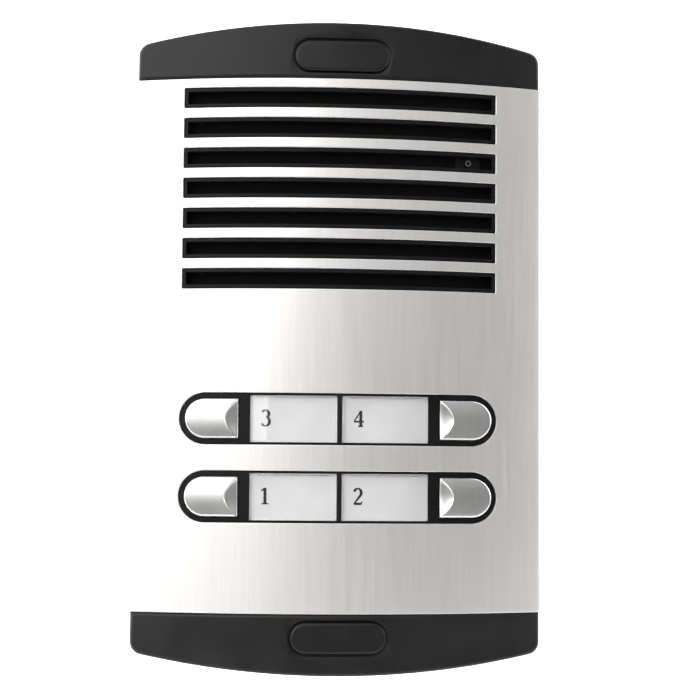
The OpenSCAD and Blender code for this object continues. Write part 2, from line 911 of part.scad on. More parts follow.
front_plate();
end_cap_top();
end_cap_bottom();
cap_plug_top();
cap_plug_bottom();
cap_screws();
back_housing();
wall_seal();
grille_insert();
acoustic_mesh();
speaker_baffle();
small_screws();
speaker_gasket();
speaker_frame();
speaker_magnet();
speaker_top_plate();
speaker_yoke();
speaker_cone();
speaker_surround();
dust_cap();
voice_coil();
speaker_clamps();
microphone_boot();
microphone_capsule();
microphone_port();
name_holder_upper();
name_holder_lower();
for (n = [1:4]) {
  window(n);
  label(n);
  button(n);
  button_spring(n);
  plunger(n);
}
diffusers();
label_leds();
switch_bodies();
button_board();
main_board();
trimmer_bodies();
trimmer_rotor(trimmer_x[0]);  // trimmer_rotor_speaker
trimmer_rotor(trimmer_x[1]);  // trimmer_rotor_microphone
terminal_block();
terminal_screws();
capacitors();
board_connectors();
speaker_leads();
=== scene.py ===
import json
import math

import bmesh
import bpy
from mathutils import Matrix, Vector


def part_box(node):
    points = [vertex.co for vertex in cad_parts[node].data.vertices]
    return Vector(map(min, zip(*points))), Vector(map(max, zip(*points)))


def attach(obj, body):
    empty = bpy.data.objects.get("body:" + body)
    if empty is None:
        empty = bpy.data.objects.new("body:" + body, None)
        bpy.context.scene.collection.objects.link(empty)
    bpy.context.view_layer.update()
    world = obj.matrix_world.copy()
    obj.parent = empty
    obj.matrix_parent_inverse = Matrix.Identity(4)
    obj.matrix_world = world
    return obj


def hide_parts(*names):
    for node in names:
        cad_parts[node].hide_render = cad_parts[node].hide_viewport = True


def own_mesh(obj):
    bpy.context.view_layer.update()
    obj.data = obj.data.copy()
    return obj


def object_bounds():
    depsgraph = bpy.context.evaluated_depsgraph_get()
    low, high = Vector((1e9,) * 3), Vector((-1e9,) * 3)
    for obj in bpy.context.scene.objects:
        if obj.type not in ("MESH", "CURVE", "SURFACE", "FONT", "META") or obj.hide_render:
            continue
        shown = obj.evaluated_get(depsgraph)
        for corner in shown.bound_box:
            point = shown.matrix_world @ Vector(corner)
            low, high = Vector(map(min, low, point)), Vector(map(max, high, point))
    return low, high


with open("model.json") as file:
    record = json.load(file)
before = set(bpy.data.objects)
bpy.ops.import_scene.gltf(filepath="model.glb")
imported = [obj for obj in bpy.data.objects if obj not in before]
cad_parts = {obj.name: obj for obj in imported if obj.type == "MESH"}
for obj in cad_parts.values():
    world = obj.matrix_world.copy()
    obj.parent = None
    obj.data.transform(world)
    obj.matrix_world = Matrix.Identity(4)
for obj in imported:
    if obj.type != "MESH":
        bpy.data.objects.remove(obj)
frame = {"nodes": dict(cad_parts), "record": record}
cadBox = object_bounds()
mm = 0.001
mergeDistance = 1e-7
slack = 1e-6  # for telling two depths apart


def inMillimetres(**sizes):
    return {name: size * mm for name, size in sizes.items()}


print("frame loaded:", len(frame["nodes"]), "nodes")

# camera, stage and lights

cameraSetup = {
    "place": (-0.0344, -0.5617, -0.0390),
    "turn": (4.004, -0.440, -4.051),  # pitch, roll and yaw in degrees
    "lens": 87.53,
    "sensor": 36.0,
}


def makeCamera(setup):
    data = bpy.data.cameras.new("portraitCamera")
    data.lens = setup["lens"]
    data.sensor_width = setup["sensor"]
    data.clip_start = 0.01
    camera = bpy.data.objects.new("portraitCamera", data)
    pitch, roll, yaw = (math.radians(a) for a in setup["turn"])
    turn = Matrix.Rotation(yaw, 4, "Z") @ Matrix.Rotation(pitch, 4, "X") @ Matrix.Rotation(roll, 4, "Y")
    upright = Matrix.Rotation(math.pi / 2, 4, "X")  # a camera looks down its own -Z
    camera.matrix_world = Matrix.Translation(setup["place"]) @ turn @ upright
    bpy.context.collection.objects.link(camera)
    bpy.context.scene.camera = camera
    return camera


makeCamera(cameraSetup)

stageSetup = {
    "floorDrop": 0.075,  # floor below the panel's lowest edge
    "wallBack": 0.55,
    "size": 3.0,
    "front": 0.22,
    "curve": 0.25,
    "tone": (0.93, 0.93, 0.93),
}

lightSetup = {
    "keyLeft": {"place": (-0.80, -1.0, 0.62), "aim": (0, -0.02, 0.0), "size": (1.65, 1.4), "power": 18.2},
    "frontHigh": {"place": (0.15, -1.5, 0.85), "aim": (0, 0, 0), "size": (1.6, 1.0), "power": 2.4},
    "topSoft": {"place": (-0.1, -0.5, 1.3), "aim": (0, 0, 0), "size": (1.2, 0.8), "power": 3.0},
    "wallLeft": {"place": (-0.5, 0.12, 0.3), "aim": (0.05, 0.55, 0.0), "size": (0.5, 0.8), "power": 6.0},
    "wallRight": {"place": (0.5, 0.12, 0.3), "aim": (-0.05, 0.55, 0.0), "size": (0.5, 0.8), "power": 6.0},
}
airStrength = 0.33


def makeStage(setup):
    low = cadBox[0].z - setup["floorDrop"]
    half = setup["size"] / 2
    back, bend = setup["wallBack"], setup["curve"]
    outline = [(-setup["front"], low), (back - bend, low)]
    for i in range(1, 13):
        a = math.pi / 2 * i / 12
        outline.append((back - bend + bend * math.sin(a), low + bend - bend * math.cos(a)))
    outline.append((back, low + setup["size"]))
    bm = bmesh.new()
    rows = [[bm.verts.new((x, y, z)) for x in (-half, half)] for y, z in outline]
    for a, b in zip(rows, rows[1:]):
        bm.faces.new((a[0], a[1], b[1], b[0]))
    sweep = finishMesh(bm, "studioSweep", makeStagePaint(setup["tone"]))


def makeStagePaint(tone):
    material = bpy.data.materials.new("studioPaper")
    material.use_nodes = True
    shader = material.node_tree.nodes["Principled BSDF"]
    shader.inputs["Base Color"].default_value = (*tone, 1)
    shader.inputs["Roughness"].default_value = 0.9
    return material


def finishMesh(bm, name, material, smooth=True, sharpAngle=35):
    # turns a bmesh into a linked object
    mesh = bpy.data.meshes.new(name)
    bmesh.ops.remove_doubles(bm, verts=bm.verts, dist=mergeDistance)
    for face in bm.faces:
        face.smooth = smooth
    for edge in bm.edges:
        if len(edge.link_faces) == 2 and edge.calc_face_angle(0) > math.radians(sharpAngle):
            edge.smooth = False
    bm.to_mesh(mesh)
    bm.free()
    mesh.materials.append(material)
    thing = bpy.data.objects.new(name, mesh)
    bpy.context.collection.objects.link(thing)
    return thing


def makeLights(setup):
    for name, light in setup.items():
        data = bpy.data.lights.new(name, "AREA")
        data.shape = "RECTANGLE"
        data.size, data.size_y = light["size"]
        data.energy = light["power"]
        lamp = bpy.data.objects.new(name, data)
        lamp.location = light["place"]
        aim = Vector(light["aim"]) - Vector(light["place"])
        lamp.rotation_euler = aim.to_track_quat("-Z", "Y").to_euler()
        bpy.context.collection.objects.link(lamp)
    world = bpy.data.worlds.new("studioAir")
    world.use_nodes = True
    world.node_tree.nodes["Background"].inputs["Color"].default_value = (1, 1, 1, 1)
    world.node_tree.nodes["Background"].inputs["Strength"].default_value = airStrength
    bpy.context.scene.world = world


makeStage(stageSetup)
makeLights(lightSetup)
bpy.context.scene.view_settings.view_transform = "Standard"
print("camera, stage and lights ready")

# shader groups shared by the materials


def newGroup(name, inputs, outputs):
    group = bpy.data.node_groups.new(name, "ShaderNodeTree")
    for label, kind, value in inputs:
        socket = group.interface.new_socket(label, in_out="INPUT", socket_type=kind)
        if value is not None:
            socket.default_value = value
    for label, kind in outputs:
        group.interface.new_socket(label, in_out="OUTPUT", socket_type=kind)
    start = group.nodes.new("NodeGroupInput")
    end = group.nodes.new("NodeGroupOutput")
    return group, start, end


def addNode(tree, kind, **settings):
    node = tree.nodes.new(kind)
    for key, value in settings.items():
        setattr(node, key, value)
    return node


def setInputs(node, values):
    for key, value in values.items():
        node.inputs[key].default_value = value


def mathNode(tree, operation, a, b=None, c=None):
    node = addNode(tree, "ShaderNodeMath", operation=operation)
    for slot, value in enumerate((a, b, c)):
        if value is None:
            continue
        if isinstance(value, (int, float)):
            node.inputs[slot].default_value = value
        else:
            tree.links.new(value, node.inputs[slot])
    return node.outputs[0]


def weigh(tree, a, b, share):
    # weighted mean of two values
    return mathNode(tree, "ADD", mathNode(tree, "MULTIPLY", a, share),
                    mathNode(tree, "MULTIPLY", b, 1 - share))


def stretchedNoise(tree, coordinate, stretch, scale, detail=4.0, roughness=0.6):
    mapping = addNode(tree, "ShaderNodeMapping")
    mapping.inputs["Scale"].default_value = stretch
    tree.links.new(coordinate, mapping.inputs["Vector"])
    noise = addNode(tree, "ShaderNodeTexNoise")
    setInputs(noise, {"Scale": scale, "Detail": detail, "Roughness": roughness})
    tree.links.new(mapping.outputs[0], noise.inputs["Vector"])
    return noise.outputs["Fac"]


def spread(tree, value, low, high, fromLow=0.0, fromHigh=1.0):
    node = addNode(tree, "ShaderNodeMapRange")
    setInputs(node, {"From Min": fromLow, "From Max": fromHigh, "To Min": low, "To Max": high})
    tree.links.new(value, node.inputs["Value"])
    return node.outputs["Result"]


brushSetup = {
    "fine": 5200,
    "fineStretch": (1, 1, 0.012),
    "broad": 900,
    "broadStretch": (1, 1, 0.03),
    "fineShare": 0.6,
}
wearSetup = {"flat": 0.52, "sharp": 0.62, "breakup": 700}
mouldPatch = 60


def buildBrushing():
    # fine vertical brush lines, long in Z and short across
    group, start, end = newGroup(
        "brushLines",
        [("Vector", "NodeSocketVector", None), ("Depth", "NodeSocketFloat", 0.5)],
        [("Tone", "NodeSocketFloat"), ("Height", "NodeSocketFloat")],
    )
    where, setup = start.outputs["Vector"], brushSetup
    fine = stretchedNoise(group, where, setup["fineStretch"], setup["fine"], 3.0, 0.7)
    broad = stretchedNoise(group, where, setup["broadStretch"], setup["broad"], 3.0, 0.6)
    mixed = weigh(group, fine, broad, setup["fineShare"])
    group.links.new(mixed, end.inputs["Tone"])
    group.links.new(mathNode(group, "MULTIPLY", mixed, start.outputs["Depth"]), end.inputs["Height"])
    return group


def buildMould():
    # spark-eroded mould grain with slow patches of gloss
    group, start, end = newGroup(
        "mouldGrain",
        [("Vector", "NodeSocketVector", None), ("Grain", "NodeSocketFloat", 2600.0)],
        [("Patch", "NodeSocketFloat"), ("Height", "NodeSocketFloat")],
    )
    noise = addNode(group, "ShaderNodeTexNoise")
    noise.inputs["Detail"].default_value = 3.0
    group.links.new(start.outputs["Vector"], noise.inputs["Vector"])
    group.links.new(start.outputs["Grain"], noise.inputs["Scale"])
    group.links.new(noise.outputs["Fac"], end.inputs["Height"])
    patches = stretchedNoise(group, start.outputs["Vector"], (1, 1, 1), mouldPatch, 3.0)
    group.links.new(patches, end.inputs["Patch"])
    return group


def buildWear():
    # light scuffs on edges, read from how sharply the surface turns
    group, start, end = newGroup(
        "edgeWear",
        [("Vector", "NodeSocketVector", None), ("Amount", "NodeSocketFloat", 0.4)],
        [("Mask", "NodeSocketFloat")],
    )
    geometry = addNode(group, "ShaderNodeNewGeometry")
    edge = spread(group, geometry.outputs["Pointiness"], 0, 1, wearSetup["flat"], wearSetup["sharp"])
    breakup = stretchedNoise(group, start.outputs["Vector"], (1, 1, 1), wearSetup["breakup"], 4.0, 0.7)
    mask = mathNode(group, "MULTIPLY", edge, breakup)
    group.links.new(mathNode(group, "MULTIPLY", mask, start.outputs["Amount"]), end.inputs["Mask"])
    return group


brushLines = buildBrushing()
mouldGrain = buildMould()
edgeWear = buildWear()

# materials


def startMaterial(name):
    material = bpy.data.materials.new(name)
    material.use_nodes = True
    tree = material.node_tree
    shader = tree.nodes["Principled BSDF"]
    coordinate = addNode(tree, "ShaderNodeTexCoord")
    return material, tree, shader, coordinate.outputs["Object"]


def placeGroup(tree, group, coordinate, **values):
    node = addNode(tree, "ShaderNodeGroup", node_tree=group)
    tree.links.new(coordinate, node.inputs["Vector"])
    setInputs(node, values)
    return node


def blendTones(tree, mask, low, high):
    ramp = addNode(tree, "ShaderNodeMix", data_type="RGBA")
    tree.links.new(mask, ramp.inputs["Factor"])
    ramp.inputs[6].default_value = (*low, 1)
    ramp.inputs[7].default_value = (*high, 1)
    return ramp.outputs[2]


def roughen(tree, shader, value, roughness, below, above):
    # lets the roughness wander around its value
    tree.links.new(spread(tree, value, roughness - below, roughness + above, 0.3, 0.7),
                   shader.inputs["Roughness"])


def paintScuffed(tree, shader, tone, worn, blend, lift):
    # base colour, lifted where the edges are worn
    node = addNode(tree, "ShaderNodeMix", data_type="RGBA", blend_type=blend)
    tree.links.new(worn.outputs["Mask"], node.inputs["Factor"])
    tree.links.new(tone, node.inputs[6])
    node.inputs[7].default_value = (lift, lift, lift, 1)
    tree.links.new(node.outputs[2], shader.inputs["Base Color"])


def addBump(tree, shader, height, distance, strength=1.0):
    bump = addNode(tree, "ShaderNodeBump")
    setInputs(bump, {"Strength": strength, "Distance": distance})
    tree.links.new(height, bump.inputs["Height"])
    tree.links.new(bump.outputs["Normal"], shader.inputs["Normal"])


def metalFinish(name, low, high, roughness, brushed, wear=0.3, metallic=1.0):
    material, tree, shader, coordinate = startMaterial(name)
    shader.inputs["Metallic"].default_value = metallic
    lines = placeGroup(tree, brushLines, coordinate, Depth=1.0)
    patch = placeGroup(tree, mouldGrain, coordinate, Grain=1500.0)
    worn = placeGroup(tree, edgeWear, coordinate, Amount=wear)
    tone = blendTones(tree, spread(tree, lines.outputs["Tone"], 0, 1, 0.35, 0.65), low, high)
    paintScuffed(tree, shader, tone, worn, "SCREEN", 0.5)
    mixed = weigh(tree, lines.outputs["Tone"], patch.outputs["Patch"], brushed)
    roughen(tree, shader, mixed, roughness, 0.035, 0.045)
    addBump(tree, shader, lines.outputs["Height"], 0.000012 * brushed + 0.000002, 0.3)
    return material


def plasticFinish(name, low, high, roughness, grain=2600.0, depth=0.00002, coat=0.0, wear=0.25, gloss=0.5):
    material, tree, shader, coordinate = startMaterial(name)
    mould = placeGroup(tree, mouldGrain, coordinate, Grain=grain)
    worn = placeGroup(tree, edgeWear, coordinate, Amount=wear)
    tone = blendTones(tree, spread(tree, mould.outputs["Patch"], 0, 1, 0.35, 0.65), low, high)
    paintScuffed(tree, shader, tone, worn, "ADD", 0.05)
    roughen(tree, shader, mould.outputs["Patch"], roughness, 0.05, 0.06)
    setInputs(shader, {"Coat Weight": coat, "Specular IOR Level": gloss})
    addBump(tree, shader, mould.outputs["Height"], depth, 0.4)
    return material


def clearFinish(name):
    material, tree, shader, coordinate = startMaterial(name)
    shader.inputs["Transmission Weight"].default_value = 1.0
    shader.inputs["IOR"].default_value = 1.49
    shader.inputs["Metallic"].default_value = 0.0
    mould = placeGroup(tree, mouldGrain, coordinate, Grain=300.0)
    tone = blendTones(tree, mould.outputs["Patch"], (0.955, 0.965, 0.965), (0.985, 0.99, 0.99))
    tree.links.new(tone, shader.inputs["Base Color"])
    tree.links.new(spread(tree, mould.outputs["Patch"], 0.02, 0.07), shader.inputs["Roughness"])
    addBump(tree, shader, mould.outputs["Patch"], 0.00004, 0.1)
    rays = addNode(tree, "ShaderNodeLightPath")
    through = addNode(tree, "ShaderNodeBsdfTransparent")
    either = addNode(tree, "ShaderNodeMixShader")
    tree.links.new(rays.outputs["Is Shadow Ray"], either.inputs["Fac"])
    tree.links.new(shader.outputs[0], either.inputs[1])
    tree.links.new(through.outputs[0], either.inputs[2])
    tree.links.new(either.outputs[0], tree.nodes["Material Output"].inputs["Surface"])
    return material


def paperFinish(name, low, high):
    material, tree, shader, coordinate = startMaterial(name)
    fibres = stretchedNoise(tree, coordinate, (1, 1, 2.2), 2600, 6.0, 0.75)
    cloud = stretchedNoise(tree, coordinate, (1, 1, 1), 130, 3.0)
    tone = blendTones(tree, spread(tree, weigh(tree, fibres, cloud, 0.5), 0, 1, 0.3, 0.7), low, high)
    tree.links.new(tone, shader.inputs["Base Color"])
    tree.links.new(spread(tree, cloud, 0.78, 0.9), shader.inputs["Roughness"])
    addBump(tree, shader, fibres, 0.00002, 0.4)
    return material


def clothFinish(name, low, high, threads):
    # plain weave from two crossed wave patterns
    material, tree, shader, coordinate = startMaterial(name)
    waves = []
    for axis in ("X", "Z"):
        wave = addNode(tree, "ShaderNodeTexWave", wave_type="BANDS", bands_direction=axis)
        setInputs(wave, {"Scale": threads, "Distortion": 0.3})
        tree.links.new(coordinate, wave.inputs["Vector"])
        waves.append(wave.outputs["Fac"])
    weave = mathNode(tree, "MULTIPLY", waves[0], waves[1])
    tone = blendTones(tree, weave, low, high)
    tree.links.new(tone, shader.inputs["Base Color"])
    tree.links.new(spread(tree, weave, 0.95, 0.75), shader.inputs["Roughness"])
    shader.inputs["Specular IOR Level"].default_value = 0.1
    addBump(tree, shader, weave, 0.0001, 0.7)
    return material


def boardFinish(name):
    # green solder mask over faint copper tracks
    material, tree, shader, coordinate = startMaterial(name)
    brick = addNode(tree, "ShaderNodeTexBrick")
    swap = addNode(tree, "ShaderNodeMapping")
    swap.inputs["Rotation"].default_value = (math.pi / 2, 0, 0)
    tree.links.new(coordinate, swap.inputs["Vector"])
    tree.links.new(swap.outputs[0], brick.inputs["Vector"])
    setInputs(brick, {"Scale": 260.0, "Mortar Size": 0.03})
    tone = blendTones(tree, brick.outputs["Fac"], (0.012, 0.11, 0.045), (0.05, 0.26, 0.11))
    tree.links.new(tone, shader.inputs["Base Color"])
    cloud = stretchedNoise(tree, coordinate, (1, 1, 1), 180, 4.0)
    tree.links.new(spread(tree, cloud, 0.25, 0.4), shader.inputs["Roughness"])
    addBump(tree, shader, brick.outputs["Fac"], 0.00003, 0.5)
    return material


finishes = {
    "panel_metal": metalFinish("satinAluminium", (0.765, 0.75, 0.735), (0.835, 0.825, 0.81), 0.42, 1.0),
    "button_metal": metalFinish("satinChrome", (0.61, 0.60, 0.59), (0.66, 0.655, 0.645), 0.3, 0.15),
    "steel_zinc": metalFinish("zincPlate", (0.55, 0.55, 0.53), (0.7, 0.7, 0.67), 0.33, 0.3),
    "screw_steel": metalFinish("brightScrew", (0.62, 0.62, 0.61), (0.78, 0.78, 0.77), 0.25, 0.3),
    "spring_steel": metalFinish("springWire", (0.6, 0.6, 0.6), (0.76, 0.76, 0.76), 0.24, 0.2),
    "coil_copper": metalFinish("enamelCopper", (0.52, 0.2, 0.09), (0.72, 0.33, 0.16), 0.3, 0.6),
    "cap_plastic": plasticFinish("satinBlackMoulding", (0.005, 0.0045, 0.005), (0.009, 0.008, 0.009), 0.4,
                                 gloss=0.3),
    "holder_plastic": plasticFinish("holderBlack", (0.003, 0.003, 0.003), (0.006, 0.0055, 0.006), 0.45,
                                    gloss=0.16),
    "housing_plastic": plasticFinish("housingGrey", (0.05, 0.05, 0.05), (0.085, 0.085, 0.085), 0.55,
                                     1600.0, 0.00005),
    "label_paper": paperFinish("labelCard", (0.60, 0.59, 0.595), (0.68, 0.67, 0.675)),
    "window_clear": clearFinish("clearAcrylic"),
    "diffuser_white": plasticFinish("milkyAcrylic", (0.78, 0.78, 0.76), (0.88, 0.88, 0.86), 0.3),
    "speaker_fabric": clothFinish("acousticCloth", (0.002, 0.002, 0.002), (0.012, 0.012, 0.012), 900.0),
    "cone_paper": paperFinish("coneBlackPulp", (0.012, 0.012, 0.012), (0.04, 0.04, 0.04)),
    "rubber_black": plasticFinish("softRubber", (0.015, 0.015, 0.015), (0.03, 0.03, 0.03), 0.75,
                                  1200.0, 0.00006),
    "magnet_ferrite": plasticFinish("sinteredFerrite", (0.06, 0.06, 0.065), (0.12, 0.12, 0.13), 0.62,
                                    900.0, 0.00008),
    "board_green": boardFinish("solderMask"),
    "switch_black": plasticFinish("blackNylon", (0.02, 0.02, 0.02), (0.045, 0.045, 0.045), 0.5),
    "plunger_red": plasticFinish("redAcetal", (0.4, 0.04, 0.03), (0.55, 0.07, 0.05), 0.35),
    "trimmer_blue": plasticFinish("trimmerBlue", (0.02, 0.09, 0.36), (0.04, 0.14, 0.5), 0.4),
    "rotor_white": plasticFinish("rotorWhite", (0.7, 0.7, 0.66), (0.82, 0.82, 0.78), 0.42),
    "terminal_green": plasticFinish("terminalGreen", (0.04, 0.3, 0.13), (0.08, 0.4, 0.19), 0.42),
    "can_sleeve": plasticFinish("sleeveBlue", (0.01, 0.02, 0.1), (0.03, 0.05, 0.18), 0.22,
                                600.0, 0.00001, 0.5),
    "led_yellow": plasticFinish("ledResin", (0.72, 0.66, 0.3), (0.86, 0.8, 0.42), 0.25),
    "lead_red": plasticFinish("leadRed", (0.35, 0.02, 0.02), (0.5, 0.05, 0.04), 0.3, 700.0, 0.00001, 0.3),
}
inkBlack = plasticFinish("printInk", (0.004, 0.004, 0.004), (0.012, 0.012, 0.012), 0.8, 3000.0, 0.00001,
                         gloss=0.1)

nodeSlots = {part["node"]: part["material_slot"] for part in frame["record"]["subparts"]}
for nodeName, slotName in nodeSlots.items():
    node = frame["nodes"][nodeName]
    node.data.materials.clear()
    node.data.materials.append(finishes[slotName])
# painted shade: the microphone port's steel sleeve is painted near black to stand in for the shade inside its
# slot
paintedShadeSleeve = metalFinish("paintedShadePort", (0.05, 0.05, 0.05), (0.09, 0.09, 0.09), 0.4, 0.2)
frame["nodes"]["microphone_port"].data.materials[0] = paintedShadeSleeve  # the sleeve sits in the shade of its slot
print("materials:", len(finishes) + 1)

# the bowed surface that the front pieces follow

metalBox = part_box("front_plate")
panel = {
    "halfWidth": metalBox[1].x,
    "halfHeight": metalBox[1].z,
    "crown": -metalBox[0].y,
    "rearGap": -metalBox[1].y,
    "sideDepth": 24 * mm,
    "thickness": 2 * mm,
    "cornerRadius": 1.3 * mm,
    "edge": 0.2 * mm,
    "step": 2 * mm,
}
panel["bulge"] = panel["crown"] - panel["sideDepth"]
panel["bowRadius"] = (panel["halfWidth"] ** 2 + panel["bulge"] ** 2) / (2 * panel["bulge"])
panel["bowAxis"] = panel["crown"] - panel["bowRadius"]


def middle(box):
    return [(low + high) / 2 for low, high in zip(*box)]


def bowDepth(x, below=0.0):
    return panel["bowAxis"] + math.sqrt((panel["bowRadius"] - below) ** 2 - x * x)


def arcPoints(cx, cz, radius, fromAngle, toAngle, steps):
    for i in range(steps + 1):
        a = math.radians(fromAngle + (toAngle - fromAngle) * i / steps)
        yield cx + radius * math.cos(a), cz + radius * math.sin(a)


def stadiumLoop(cx, cz, width, height, steps=20):
    end, r = width / 2 - height / 2, height / 2
    return list(arcPoints(cx + end, cz, r, -90, 90, steps)) + list(arcPoints(cx - end, cz, r, 90, 270, steps))


def boxLoop(x0, x1, z0, z1, corner=0.0, steps=4):
    if corner == 0:
        return [(x1, z0), (x1, z1), (x0, z1), (x0, z0)]
    points = []
    for cx, cz, a in ((x1 - corner, z0 + corner, -90), (x1 - corner, z1 - corner, 0),
                      (x0 + corner, z1 - corner, 90), (x0 + corner, z0 + corner, 180)):
        points += arcPoints(cx, cz, corner, a, a + 90, steps)
    return points


def shiftLoop(loop, amount):
    # moves a closed loop sideways: a positive amount goes to its left, inwards when it runs anticlockwise
    moved = []
    count = len(loop)
    for i in range(count):
        before, here, after = (Vector(loop[(i + k) % count]) for k in (-1, 0, 1))
        a, b = (here - before).normalized(), (after - here).normalized()
        na, nb = Vector((-a.y, a.x)), Vector((-b.y, b.x))
        corner = (na + nb) / max(1 + na.dot(nb), 0.2)
        moved.append(tuple(here + corner * amount))
    return moved


sheetRule = inMillimetres(
    support=0.06,  # a ring this far inside a rounding keeps the flat face's shading flat
    leastRounding=0.05,  # a smaller rounding gets no such ring
    sharp=0.01,
)


def sheetSolid(bm, outer, holes, edge, holeEdge, thickness, rounds=3, columns=None):
    # flat plate in x, below and z with rounded front edges; below runs from 0 at the front to thickness
    loops = [(outer, edge)] + [(list(reversed(hole)), holeEdge) for hole in holes]
    frontEdges, backEdges = [], []
    for loop, radius in loops:
        rings = []
        if radius > sheetRule["leastRounding"]:
            held = shiftLoop(loop, radius + sheetRule["support"])
            rings.append([bm.verts.new((x, 0, z)) for x, z in held])
        for k in range(rounds + 1):
            a = math.pi / 2 * k / rounds
            inset = radius * (1 - math.sin(a))
            shifted = shiftLoop(loop, inset) if inset > 1e-9 else loop
            rings.append([bm.verts.new((x, radius * (1 - math.cos(a)), z)) for x, z in shifted])
        rings.append([bm.verts.new((x, thickness, z)) for x, z in loop])
        count = len(loop)
        for upper, lower in zip(rings, rings[1:]):
            for i in range(count):
                j = (i + 1) % count
                bm.faces.new((upper[i], upper[j], lower[j], lower[i]))
        frontEdges += [bm.edges.get((rings[0][i], rings[0][(i + 1) % count])) for i in range(count)]
        backEdges += [bm.edges.get((rings[-1][i], rings[-1][(i + 1) % count])) for i in range(count)]
    bmesh.ops.triangle_fill(bm, edges=frontEdges, use_beauty=True, normal=(0, -1, 0))
    bmesh.ops.triangle_fill(bm, edges=backEdges, use_beauty=True, normal=(0, 1, 0))
    for x in columns or []:
        bmesh.ops.bisect_plane(bm, geom=bm.verts[:] + bm.edges[:] + bm.faces[:], dist=1e-8,
                               plane_co=(x, 0, 0), plane_no=(1, 0, 0))
    bmesh.ops.remove_doubles(bm, verts=bm.verts, dist=mergeDistance)
    bmesh.ops.recalc_face_normals(bm, faces=bm.faces)


def bowColumns(x0, x1, step=2.5 * mm):
    count = max(1, math.ceil((x1 - x0) / step))
    return [x0 + (x1 - x0) * i / count for i in range(1, count)]


def bendToBow(bm, drop=0.0):
    for vert in bm.verts:
        vert.co.y = -bowDepth(vert.co.x, drop + vert.co.y)


def bowedSheet(name, outer, holes, edge, holeEdge, drop, thickness, material, rounds=3):
    bm = bmesh.new()
    xs = [p[0] for p in outer]
    sheetSolid(bm, outer, holes, edge, holeEdge, thickness, rounds, bowColumns(min(xs), max(xs)))
    bendToBow(bm, drop)
    return finishMesh(bm, name, material)


def place(piece, body, slotName, *nodes):
    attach(piece, body)
    if nodes:
        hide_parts(*nodes)
    return piece


# metal front plate

grille = {
    "count": 7,
    "slotLength": 99.2 * mm,
    "slotHeight": 6.4 * mm,
    "pitch": 9.55 * mm,
    "margin": 2.9 * mm,
    "cutEdge": 0.22 * mm,
    "corner": 0.35 * mm,
}
rows = {
    "length": 99.8 * mm,
    "height": 16.1 * mm,
}
grille["top"] = panel["halfHeight"] - grille["margin"]
grille["centres"] = [grille["top"] - grille["slotHeight"] / 2 - i * grille["pitch"]
                     for i in range(grille["count"])]
rows["centres"] = [middle(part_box("label_%d" % n))[2] for n in (3, 1)]


def plateProfile():
    # maps the unrolled width to x and depth: bow, rounded corner, side wall
    bowR, r, hw = panel["bowRadius"], panel["cornerRadius"], panel["halfWidth"]
    kx = hw - r
    turn = math.asin(kx / (bowR - r))
    ky = panel["bowAxis"] + (bowR - r) * math.cos(turn)
    bowLength = bowR * turn
    cornerLength = r * (math.pi / 2 - turn)
    total = bowLength + cornerLength + ky - panel["rearGap"]
    thick = panel["thickness"]
    innerDepth = panel["bowAxis"] + math.sqrt((bowR - thick) ** 2 - (hw - thick) ** 2)

    def spot(s, below):
        side, a = (1 if s >= 0 else -1), abs(s)
        if a <= bowLength:
            angle = a / bowR
            x, depth = (bowR - below) * math.sin(angle), panel["bowAxis"] + (bowR - below) * math.cos(angle)
        elif a <= bowLength + cornerLength:
            angle = turn + (a - bowLength) / r
            x, depth = kx + (r - below) * math.sin(angle), ky + (r - below) * math.cos(angle)
        else:
            x, depth = hw - below, ky - (a - bowLength - cornerLength)
        if below > r:
            x, depth = min(x, hw - below), min(depth, innerDepth if a > bowLength else depth)
        return side * x, depth

    corners = [bowLength + cornerLength * i / 6 for i in range(7)]
    return spot, total, corners


def makeFrontPlate():
    spot, total, corners = plateProfile()
    bowR = panel["bowRadius"]
    outer = boxLoop(-total, total, -panel["halfHeight"], panel["halfHeight"])
    half, tall = grille["slotLength"] / 2, grille["slotHeight"] / 2
    cuts = [boxLoop(-half, half, z - tall, z + tall, grille["corner"]) for z in grille["centres"]]
    cuts += [stadiumLoop(0, z, rows["length"], rows["height"], 32) for z in rows["centres"]]
    holes = [[(bowR * math.asin(x / bowR), z) for x, z in cut] for cut in cuts]
    bm = bmesh.new()
    columns = bowColumns(-corners[0], corners[0], panel["step"]) + corners + [-s for s in corners]
    sheetSolid(bm, outer, holes, panel["edge"], grille["cutEdge"], panel["thickness"], 3, columns)
    for vert in bm.verts:
        x, depth = spot(vert.co.x, vert.co.y)
        vert.co = Vector((x, -depth, vert.co.z))
    plate = finishMesh(bm, "frontPlate", finishes["panel_metal"])
    return place(plate, "panel", "panel_metal", "front_plate")


makeFrontPlate()
print("front plate made")

# end caps

capShape = inMillimetres(
    inset=0.6,
    drop=0.2,
    archRadius=322,
    corner=4,
    edge=1.1,
    wall=2.4,
    ovalLength=31.4,
    ovalHeight=11.2,
    pocketDepth=1.6,
    faceDepth=5,
    seamGap=0.06,
    hollowCorner=1.6,
    hollowEdge=0.8,
    hollowReach=3,
    overcut=2,
    soften=0.22,
)
plug = inMillimetres(
    edge=0.9,
    body=1.3,
    pegX=10,
    pegRadius=1.4,
    pegLength=2.4,
)


def archLoop(halfWidth, archRadius, top, corner, base, steps=64):
    # outline of a cap seen from the front, anticlockwise, for a top cap
    kx = halfWidth - corner
    centre = top - archRadius
    ky = centre + math.sqrt((archRadius - corner) ** 2 - kx * kx)
    lean = math.degrees(math.asin(kx / (archRadius - corner)))
    points = [(-halfWidth, base), (halfWidth, base)]
    points += arcPoints(kx, ky, corner, 0, 90 - lean, 8)
    points += list(arcPoints(0, centre, archRadius, 90 - lean, 90 + lean, steps))[1:-1]
    points += arcPoints(-kx, ky, corner, 90 + lean, 180, 8)
    return points


